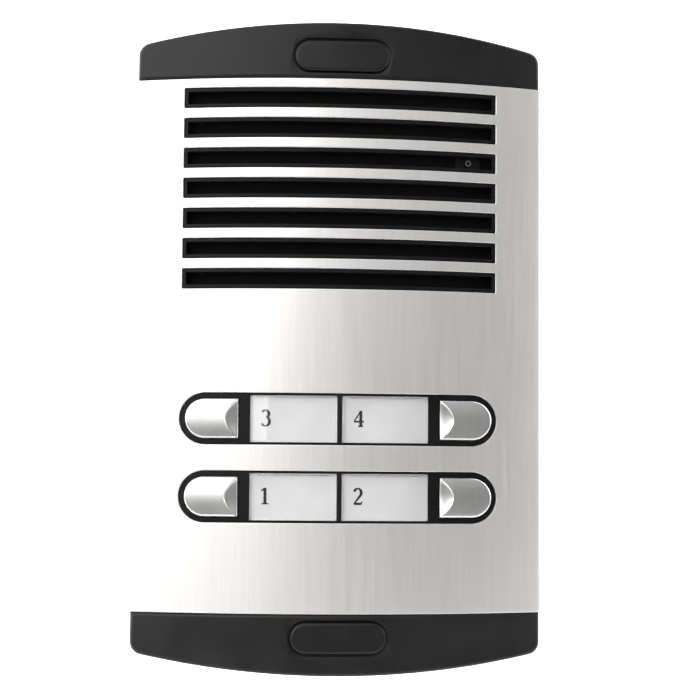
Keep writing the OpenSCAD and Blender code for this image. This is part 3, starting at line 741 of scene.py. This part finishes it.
def archBlock(name, halfWidth, archRadius, top, corner, base, edge, drop, rear):
    # solid block under the bow with an arched end
    bm = bmesh.new()
    loop = archLoop(halfWidth, archRadius, top, corner, base)
    depth = capShape["faceDepth"]
    sheetSolid(bm, loop, [], edge, edge, depth, 5, bowColumns(-halfWidth, halfWidth))
    for vert in bm.verts:
        below = vert.co.y
        vert.co.y = -rear if below > depth - slack else -bowDepth(vert.co.x, drop + below)
    return finishMesh(bm, name, finishes["cap_plastic"])


def prismBlock(name, loop, front, rear):
    bm = bmesh.new()
    depth = 1 * mm
    sheetSolid(bm, loop, [], sheetRule["sharp"], sheetRule["sharp"], depth, 1)
    for vert in bm.verts:
        vert.co.y = -front if vert.co.y < depth / 2 else -rear
    bmesh.ops.remove_doubles(bm, verts=bm.verts, dist=slack)
    return finishMesh(bm, name, finishes["cap_plastic"])


def cutAway(piece, *cutters):
    for cutter in cutters:
        modifier = piece.modifiers.new("cut", "BOOLEAN")
        modifier.operation = "DIFFERENCE"
        modifier.solver = "EXACT"
        modifier.object = cutter
    bakeModifiers(piece)
    for cutter in cutters:
        bpy.data.objects.remove(cutter)


def bakeModifiers(piece):
    graph = bpy.context.evaluated_depsgraph_get()
    mesh = bpy.data.meshes.new_from_object(piece.evaluated_get(graph))
    piece.modifiers.clear()
    piece.data = mesh


def makeCap(name, node, upright):
    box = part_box(node)
    seam = panel["halfHeight"]
    top = max(abs(box[0].z), abs(box[1].z))
    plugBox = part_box("cap_plug_top" if upright else "cap_plug_bottom")
    ovalZ = abs(middle(plugBox)[2])
    hw = panel["halfWidth"] - capShape["inset"]
    shell = archBlock(name, hw, capShape["archRadius"], top, capShape["corner"],
                      seam + capShape["seamGap"],
                      capShape["edge"], capShape["drop"], panel["rearGap"])
    wall = capShape["wall"]
    hollow = archBlock("hollow", hw - wall, capShape["archRadius"] - wall, top - wall,
                       capShape["hollowCorner"], seam - capShape["hollowReach"], capShape["hollowEdge"],
                       capShape["drop"] + wall, -capShape["overcut"])
    pocket = prismBlock("pocket", stadiumLoop(0, ovalZ, capShape["ovalLength"], capShape["ovalHeight"], 24),
                        panel["crown"] + capShape["overcut"], panel["crown"] - capShape["pocketDepth"])
    cutAway(shell, hollow, pocket)
    if not upright:
        flipUp(shell.data)
    softenEdges(shell, capShape["soften"], 40, 2)
    return place(shell, "panel", "cap_plastic", node)


def flipUp(mesh):
    # mirrors a mesh top to bottom and keeps its faces pointing out
    bm = bmesh.new()
    bm.from_mesh(mesh)
    for vert in bm.verts:
        vert.co.z = -vert.co.z
    bmesh.ops.reverse_faces(bm, faces=bm.faces)
    bm.to_mesh(mesh)
    bm.free()


def softenEdges(piece, width, angle, segments, sharpAngle=38):
    bevel = piece.modifiers.new("soften", "BEVEL")
    bevel.width = width
    bevel.segments = segments
    bevel.limit_method = "ANGLE"
    bevel.angle_limit = math.radians(angle)
    bevel.use_clamp_overlap = True
    bevel.harden_normals = False
    bakeModifiers(piece)
    bm = bmesh.new()
    bm.from_mesh(piece.data)
    for face in bm.faces:
        face.smooth = True
    for edge in bm.edges:
        edge.smooth = not (len(edge.link_faces) == 2 and edge.calc_face_angle(0) > math.radians(sharpAngle))
    bm.to_mesh(piece.data)
    bm.free()


def addPin(bm, x, depth, z, radius, length, segments):
    # round pin along Y with its middle at the given depth
    seat = Matrix.Translation((x, -depth, z)) @ Matrix.Rotation(math.pi / 2, 4, "X")
    bmesh.ops.create_cone(bm, cap_ends=True, segments=segments, radius1=radius, radius2=radius,
                          depth=length, matrix=seat)


def makePlug(name, node):
    # oval plug, slightly domed, with its two pegs
    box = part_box(node)
    centre = middle(box)[2]
    length, height = box[1].x - box[0].x, box[1].z - box[0].z
    bm = bmesh.new()
    front = -box[0].y
    seat = panel["crown"] - capShape["pocketDepth"]
    loop = stadiumLoop(0, centre, length, height, 24)
    sheetSolid(bm, loop, [], plug["edge"], plug["edge"], plug["body"], 6, bowColumns(-length / 2, length / 2))
    for vert in bm.verts:
        below = vert.co.y
        domed = bowDepth(vert.co.x) + front - panel["crown"] - below
        vert.co.y = -seat if below > plug["body"] - slack else -domed
    for x in (-plug["pegX"], plug["pegX"]):
        addPin(bm, x, seat - plug["pegLength"] / 2, centre, plug["pegRadius"], plug["pegLength"], 24)
    return place(finishMesh(bm, name, finishes["cap_plastic"]), "panel", "cap_plastic", node)


makeCap("endCapTop", "end_cap_top", True)
makeCap("endCapBottom", "end_cap_bottom", False)
makePlug("capPlugTop", "cap_plug_top")
makePlug("capPlugBottom", "cap_plug_bottom")
print("end caps made")

# name holders

holder = inMillimetres(
    drop=0.3,
    gap=0.2,
    edge=0.2,
    holeEdge=0.08,
    lip=0.5,
    divider=1.4,
    windowLength=27.2,
    buttonCorner=0.6,
    deep=6,
    flangeHalf=11,
    flangeEdge=0.1,
    flangeThickness=1.5,
    rear=19,
)
button = {
    "radius": 6.15 * mm,
    "length": 16.6 * mm,
    "proud": 2 * mm,
    "domeRadius": 30 * mm,
    "creaseBow": 4.0 * mm,
    "facet": 4.4 * mm,
    "facetSlope": 0.2,
    "edge": 0.6 * mm,
    "step": 0.45 * mm,
    "stepRun": 0.45 * mm,
    "slopeShare": 0.9,
    "bandInset": 0.2 * mm,
    "creaseGap": 0.1 * mm,
    "lip": 1 * mm,
    "lipGrow": 0.7 * mm,
    "lipCorner": 0.5 * mm,
    "lipEdge": 0.1 * mm,
    "stemRadius": 1.6 * mm,
    "rear": 24 * mm,
}
button["arcX"] = rows["length"] / 2 - rows["height"] / 2
button["outX"] = button["arcX"] + button["radius"]
button["inX"] = button["outX"] - button["length"]
button["stemX"] = (button["outX"] + button["inX"]) / 2


def buttonLoop(side, centre, grow=0.0, corner=0.0, steps=28):
    # D outline: round outwards, straight inwards
    r, cx, x0 = button["radius"] + grow, button["arcX"], button["inX"] - grow
    points = list(arcPoints(cx, 0, r, -90, 90, steps))
    if corner:
        points += arcPoints(x0 + corner, r - corner, corner, 90, 180, 4)
        points += arcPoints(x0 + corner, -r + corner, corner, 180, 270, 4)
    else:
        points += [(x0, r), (x0, -r)]
    points = [(side * x, z + centre) for x, z in points]
    return points if side > 0 else points[::-1]


def makeHolder(name, node, centre):
    width, height = rows["length"] - 2 * holder["gap"], rows["height"] - 2 * holder["gap"]
    halfWindow = height / 2 - holder["lip"]
    holes = []
    for side in (-1, 1):
        near = holder["divider"] / 2
        x0, x1 = sorted((side * near, side * (near + holder["windowLength"])))
        holes.append(boxLoop(x0, x1, centre - halfWindow, centre + halfWindow))
        holes.append(buttonLoop(side, centre, holder["gap"], holder["buttonCorner"]))
    outer = stadiumLoop(0, centre, width, height, 32)
    bm = bmesh.new()
    deep = holder["deep"]
    sheetSolid(bm, outer, holes, holder["edge"], holder["holeEdge"], deep, 3,
               bowColumns(-width / 2, width / 2))
    for vert in bm.verts:
        below = vert.co.y
        vert.co.y = -holder["rear"] if below > deep - slack else -bowDepth(vert.co.x, holder["drop"] + below)
    flange = bmesh.new()
    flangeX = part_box(node)[1].x
    ring = boxLoop(-flangeX, flangeX, centre - holder["flangeHalf"], centre + holder["flangeHalf"])
    sheetSolid(flange, ring, [stadiumLoop(0, centre, width, height, 32)], holder["flangeEdge"],
               sheetRule["sharp"], holder["flangeThickness"], 1, bowColumns(-flangeX, flangeX))
    bendToBow(flange, panel["thickness"])
    joinInto(bm, flange)
    return place(finishMesh(bm, name, finishes["holder_plastic"]), "panel", "holder_plastic", node)


def joinInto(bm, other):
    mesh = bpy.data.meshes.new("joined")
    other.to_mesh(mesh)
    other.free()
    bm.from_mesh(mesh)
    bpy.data.meshes.remove(mesh)


for holderName, holderNode, holderZ in (("nameHolderUpper", "name_holder_upper", rows["centres"][0]),
                                        ("nameHolderLower", "name_holder_lower", rows["centres"][1])):
    makeHolder(holderName, holderNode, holderZ)

# windows, labels and numerals

window = inMillimetres(drop=0.15, thickness=1.5, bevel=0.55, corner=0.3, clearance=0.05)
label = inMillimetres(thickness=0.2, corner=0.4, edge=0.03)
numeral = inMillimetres(
    height=5.2,
    inset=3.4,
    rise=0.3,
    lift=0.02,
    stroke=0.92,
    thin=0.42,
)


def makeWindow(number):
    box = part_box("window_%d" % number)
    loop = boxLoop(box[0].x, box[1].x, box[0].z, box[1].z, window["corner"])
    pane = bowedSheet("window%d" % number, loop, [], window["bevel"], window["bevel"], window["drop"],
                      window["thickness"] - window["clearance"], finishes["window_clear"], 2)
    return place(pane, "panel", "window_clear", "window_%d" % number)


def makeLabel(number):
    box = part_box("label_%d" % number)
    loop = boxLoop(box[0].x, box[1].x, box[0].z, box[1].z, label["corner"])
    card = bowedSheet("label%d" % number, loop, [], label["edge"], label["edge"],
                      window["drop"] + window["thickness"], label["thickness"], finishes["label_paper"], 1)
    return place(card, "panel", "label_paper", "label_%d" % number)


def arcStroke(cx, cz, rx, rz, fromAngle, toAngle, thickness, steps=14):
    stroke = []
    for i in range(steps + 1):
        a = math.radians(fromAngle + (toAngle - fromAngle) * i / steps)
        swell = thickness[0] + (thickness[1] - thickness[0]) * abs(math.cos(a))
        stroke.append((cx + rx * math.cos(a), cz + rz * math.sin(a), swell))
    return stroke


def numeralStrokes(number):
    # strokes of a bookish numeral in a cell one unit high; each point is x, z and pen width
    thick, thin = numeral["stroke"] / numeral["height"], numeral["thin"] / numeral["height"]
    if number == 1:
        return [[(0.25, 0.03, thick), (0.25, 0.97, thick)], [(0.03, 0.80, thin), (0.25, 0.95, thin * 1.5)],
                [(0.04, 0.03, thin), (0.46, 0.03, thin)]]
    if number == 2:
        return [arcStroke(0.27, 0.72, 0.21, 0.25, 165, -35, (thin, thick)) + [(0.05, 0.06, thin)],
                [(0.04, 0.06, thick * 0.8), (0.5, 0.06, thick * 0.8)],
                [(0.5, 0.06, thin), (0.53, 0.22, thin)]]
    if number == 3:
        return [arcStroke(0.23, 0.74, 0.2, 0.22, 155, -80, (thin, thick)),
                arcStroke(0.23, 0.28, 0.24, 0.27, 80, -155, (thin, thick))]
    return [[(0.42, 0.03, thick), (0.42, 0.97, thick)], [(0.42, 0.95, thin), (0.02, 0.32, thin)],
            [(0.02, 0.31, thin * 1.4), (0.6, 0.31, thin * 1.4)], [(0.26, 0.03, thin), (0.57, 0.03, thin)]]


def makeNumeral(number):
    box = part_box("label_%d" % number)
    size = numeral["height"]
    left, low = box[0].x + numeral["inset"], middle(box)[2] - size / 2 + numeral["rise"]
    drop = window["drop"] + window["thickness"] - numeral["lift"]
    bm = bmesh.new()
    for stroke in numeralStrokes(number):
        sides = []
        for i, (x, z, pen) in enumerate(stroke):
            a, b = stroke[max(i - 1, 0)], stroke[min(i + 1, len(stroke) - 1)]
            run = Vector((b[0] - a[0], b[1] - a[1])).normalized()
            across = Vector((-run.y, run.x)) * pen / 2
            pair = []
            for sign in (1, -1):
                px, pz = left + (x + sign * across.x) * size, low + (z + sign * across.y) * size
                for below in (drop, drop + numeral["lift"]):
                    pair.append(bm.verts.new((px, -bowDepth(px, below), pz)))
            sides.append(pair)
        for a, b in zip(sides, sides[1:]):
            for i, j in ((0, 2), (2, 3), (3, 1), (1, 0)):
                bm.faces.new((a[i], a[j], b[j], b[i]))
        for end in (sides[0], sides[-1]):
            bm.faces.new((end[0], end[1], end[3], end[2]))
    bmesh.ops.recalc_face_normals(bm, faces=bm.faces)
    return place(finishMesh(bm, "numeral%d" % number, inkBlack, False), "panel", "label_paper")


for number in (1, 2, 3, 4):
    makeWindow(number)
    makeLabel(number)
    makeNumeral(number)
print("windows and labels made")

# call buttons


def makeButton(number):
    side = -1 if number % 2 else 1
    centre = rows["centres"][0 if number > 2 else 1]
    tilt = math.tan(math.asin(button["stemX"] / panel["bowRadius"]))
    domeDepth = bowDepth(button["stemX"]) + button["proud"]
    facetX = button["inX"] + button["facet"]
    r, edge, arcX, inX = button["radius"], button["edge"], button["arcX"], button["inX"]

    def sagAt(z):
        return button["domeRadius"] - math.sqrt(button["domeRadius"] ** 2 - z * z)

    def creaseAt(z):
        return max(facetX - button["creaseBow"] * (z / r) ** 2, inX + edge + button["creaseGap"])

    def face(x, z):
        depth = domeDepth - (x - button["stemX"]) * tilt - sagAt(z)
        run = creaseAt(z) - x
        if run > 0:
            depth -= run * (tilt + button["facetSlope"]) * button["slopeShare"]
            depth -= button["step"] * (1 - math.exp(-run / button["stepRun"]))
        rim = r - math.hypot(x - arcX, z) if x > arcX else min(r - abs(z), x - inX)
        out = max(edge - max(rim, 0), 0)
        return depth - (edge - math.sqrt(max(edge * edge - out * out, 0)))

    near = [edge * (1 - math.cos(math.pi / 2 * k / 5)) for k in range(6)]
    inset = button["bandInset"]
    bands = [r - edge - inset - (2 * r - 2 * edge - 2 * inset) * k / 40 for k in range(41)]
    zs = [-r + n for n in near] + sorted(bands) + [r - n for n in reversed(near)]
    facetSteps = 12
    bm = bmesh.new()
    grid = []
    for z in zs:
        outX = arcX + math.sqrt(max(r * r - z * z, 0)) if abs(z) < r else arcX
        crease = creaseAt(z)
        xs = [inX + n for n in near]
        xs += [crease - (crease - inX - edge) * (1 - k / facetSteps) ** 2 for k in range(1, facetSteps + 1)]
        last = outX - edge if outX - edge > crease else (outX + crease) / 2
        xs += [crease + (last - crease) * k / 26 for k in range(1, 27)]
        xs += [last + (outX - last) * math.sin(math.pi / 2 * k / 6) for k in range(1, 7)]
        grid.append([bm.verts.new((side * x, -face(x, z), z + centre)) for x in xs])
    columns = len(grid[0])
    for a, b in zip(grid, grid[1:]):
        for i in range(columns - 1):
            bm.faces.new((a[i], a[i + 1], b[i + 1], b[i]))
    creaseColumn = len(near) + facetSteps - 1
    for a, b in zip(grid, grid[1:]):
        bm.edges.get((a[creaseColumn], b[creaseColumn])).smooth = False
    rear = button["rear"] + button["lip"]
    rim = grid[0] + [row[-1] for row in grid[1:-1]] + grid[-1][::-1] + [row[0] for row in grid[-2:0:-1]]
    foot = [bm.verts.new((v.co.x, -rear, v.co.z)) for v in rim]
    for i in range(len(rim)):
        j = (i + 1) % len(rim)
        bm.faces.new((rim[i], rim[j], foot[j], foot[i]))
    bm.faces.new(foot)
    lip = bmesh.new()
    lipLoop = buttonLoop(1, 0, button["lipGrow"], button["lipCorner"], 48)
    sheetSolid(lip, lipLoop, [], button["lipEdge"], button["lipEdge"], button["lip"], 1)
    for vert in lip.verts:
        vert.co = Vector((side * vert.co.x, -(rear - vert.co.y), vert.co.z + centre))
    joinInto(bm, lip)
    stemTip = -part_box("button_%d" % number)[1].y
    stemLength = button["rear"] - stemTip
    addPin(bm, side * button["stemX"], stemTip + stemLength / 2, centre, button["stemRadius"], stemLength, 32)
    bmesh.ops.recalc_face_normals(bm, faces=bm.faces)
    cap = finishMesh(bm, "callButton%d" % number, finishes["button_metal"], True, 50)
    return place(cap, "button_%d_body" % number, "button_metal", "button_%d" % number)


for number in (1, 2, 3, 4):
    makeButton(number)
print("call buttons made")

# repeated pieces from geometry nodes


def newTree(name, inputs):
    tree = bpy.data.node_groups.new(name, "GeometryNodeTree")
    tree.interface.new_socket("Geometry", in_out="INPUT", socket_type="NodeSocketGeometry")
    for label, kind, value in inputs:
        socket = tree.interface.new_socket(label, in_out="INPUT", socket_type=kind)
        socket.default_value = value
    tree.interface.new_socket("Geometry", in_out="OUTPUT", socket_type="NodeSocketGeometry")
    return tree, tree.nodes.new("NodeGroupInput"), tree.nodes.new("NodeGroupOutput")


def closeTree(tree, result, end, material):
    real = tree.nodes.new("GeometryNodeRealizeInstances")
    paint = tree.nodes.new("GeometryNodeSetMaterial")
    paint.inputs["Material"].default_value = material
    tree.links.new(result, real.inputs[0])
    tree.links.new(real.outputs[0], paint.inputs["Geometry"])
    tree.links.new(paint.outputs[0], end.inputs[0])


def runTree(name, tree, base, values):
    # gives the base mesh the tree, sets its inputs by identifier and keeps the result as a plain mesh
    seed = bpy.data.objects.new(name, base)
    bpy.context.collection.objects.link(seed)
    modifier = seed.modifiers.new("grow", "NODES")
    modifier.node_group = tree
    sockets = {item.name: item.identifier for item in tree.interface.items_tree
               if getattr(item, "in_out", "") == "INPUT"}
    for label, value in values.items():
        modifier[sockets[label]] = value
    seed.update_tag()
    graph = bpy.context.evaluated_depsgraph_get()
    mesh = bpy.data.meshes.new_from_object(seed.evaluated_get(graph))
    mesh.name = name
    seed.modifiers.clear()
    seed.data = mesh
    return seed


def springTree():
    tree, start, end = newTree("coilSpring", [
        ("Turns", "NodeSocketFloat", 4.0), ("Coil radius", "NodeSocketFloat", 0.004),
        ("Length", "NodeSocketFloat", 0.004), ("Wire radius", "NodeSocketFloat", 0.00025),
        ("Place", "NodeSocketVector", (0, 0, 0))])
    spiral = tree.nodes.new("GeometryNodeCurveSpiral")
    spiral.inputs["Resolution"].default_value = 36
    wire = tree.nodes.new("GeometryNodeCurvePrimitiveCircle")
    wire.inputs["Resolution"].default_value = 10
    for label, node, socket in (("Turns", spiral, "Rotations"), ("Coil radius", spiral, "Start Radius"),
                                ("Coil radius", spiral, "End Radius"), ("Length", spiral, "Height"),
                                ("Wire radius", wire, "Radius")):
        tree.links.new(start.outputs[label], node.inputs[socket])
    sweep = tree.nodes.new("GeometryNodeCurveToMesh")
    sweep.inputs["Fill Caps"].default_value = True
    tree.links.new(spiral.outputs[0], sweep.inputs["Curve"])
    tree.links.new(wire.outputs[0], sweep.inputs["Profile Curve"])
    lay = tree.nodes.new("GeometryNodeTransform")
    lay.inputs["Rotation"].default_value = (math.pi / 2, 0, 0)  # the coil's height runs along -Y
    tree.links.new(sweep.outputs[0], lay.inputs["Geometry"])
    tree.links.new(start.outputs["Place"], lay.inputs["Translation"])
    smooth = tree.nodes.new("GeometryNodeSetShadeSmooth")
    tree.links.new(lay.outputs[0], smooth.inputs[0])
    closeTree(tree, smooth.outputs[0], end, finishes["spring_steel"])
    return tree


spring = {"turns": 4.0, "radius": 3.9 * mm, "wire": 0.25 * mm, "travel": 1.2 * mm}


def makeSprings():
    tree = springTree()
    for n in (1, 2, 3, 4):
        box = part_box("button_spring_%d" % n)
        rear, front = -box[1].y + spring["wire"], -box[0].y - spring["wire"]
        seat = (middle(box)[0], -rear, middle(box)[2])
        coil = runTree("returnSpring%d" % n, tree, bpy.data.meshes.new("springSeed"), {
            "Turns": spring["turns"], "Coil radius": spring["radius"], "Length": front - rear,
            "Wire radius": spring["wire"], "Place": seat})
        place(coil, "panel", "spring_steel", "button_spring_%d" % n)
        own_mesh(coil)


makeSprings()

slotFrame = inMillimetres(
    gap=0.2,
    wall=1.05,
    drop=0.4,
    deep=3.1,
    edge=0.18,
    corner=0.25,
    holeCorner=0.2,
    carrier=1.5,
    carrierEdge=0.1,
)
bridgeShape = inMillimetres(
    half=4,
    portRadius=1.05,
    portEdge=0.1,
    thickness=1.2,
    drop=0.9,
)


def frameTree():
    # copies one frame down the grille
    tree, start, end = newTree("slotFrames", [
        ("Count", "NodeSocketInt", 7), ("Pitch", "NodeSocketVector", (0, 0, -0.01))])
    line = tree.nodes.new("GeometryNodeMeshLine")
    tree.links.new(start.outputs["Count"], line.inputs["Count"])
    tree.links.new(start.outputs["Pitch"], line.inputs["Offset"])
    copies = tree.nodes.new("GeometryNodeInstanceOnPoints")
    tree.links.new(line.outputs[0], copies.inputs["Points"])
    tree.links.new(start.outputs["Geometry"], copies.inputs["Instance"])
    closeTree(tree, copies.outputs[0], end, finishes["holder_plastic"])
    return tree


def makeGrilleInsert():
    half, tall = grille["slotLength"] / 2 - slotFrame["gap"], grille["slotHeight"] / 2 - slotFrame["gap"]
    z = grille["centres"][0]
    wall = slotFrame["wall"]
    one = bowedSheet("frameSeed", boxLoop(-half, half, z - tall, z + tall, slotFrame["corner"]),
                     [boxLoop(-half + wall, half - wall, z - tall + wall, z + tall - wall,
                              slotFrame["holeCorner"])],
                     slotFrame["edge"], slotFrame["edge"], slotFrame["drop"], slotFrame["deep"],
                     finishes["holder_plastic"], 2)
    frames = runTree("slotFrames", frameTree(), one.data,
                     {"Count": grille["count"], "Pitch": (0, 0, -grille["pitch"])})
    bpy.data.objects.remove(one)
    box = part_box("grille_insert")
    bm = bmesh.new()
    bm.from_mesh(frames.data)
    carrier = bmesh.new()
    holes = [boxLoop(-half, half, c - tall, c + tall) for c in grille["centres"]]
    sheetSolid(carrier, boxLoop(box[0].x, box[1].x, box[0].z, box[1].z), holes,
               slotFrame["carrierEdge"], sheetRule["sharp"], slotFrame["carrier"], 1,
               bowColumns(box[0].x, box[1].x))
    bendToBow(carrier, panel["thickness"])
    joinInto(bm, carrier)
    portX, _, portZ = middle(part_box("microphone_port"))
    x0, x1 = portX - bridgeShape["half"], portX + bridgeShape["half"]
    bridge = bmesh.new()
    sheetSolid(bridge, boxLoop(x0, x1, portZ - tall + wall, portZ + tall - wall),
               [list(arcPoints(portX, portZ, bridgeShape["portRadius"], 0, 348.75, 31))],
               sheetRule["sharp"], bridgeShape["portEdge"], bridgeShape["thickness"], 1, bowColumns(x0, x1))
    bendToBow(bridge, panel["thickness"] + bridgeShape["drop"])
    joinInto(bm, bridge)
    bpy.data.objects.remove(frames)
    insert = finishMesh(bm, "grilleInsert", finishes["holder_plastic"])
    return place(insert, "panel", "holder_plastic", "grille_insert")


makeGrilleInsert()
print("grille and springs made")

print("pieces finished")
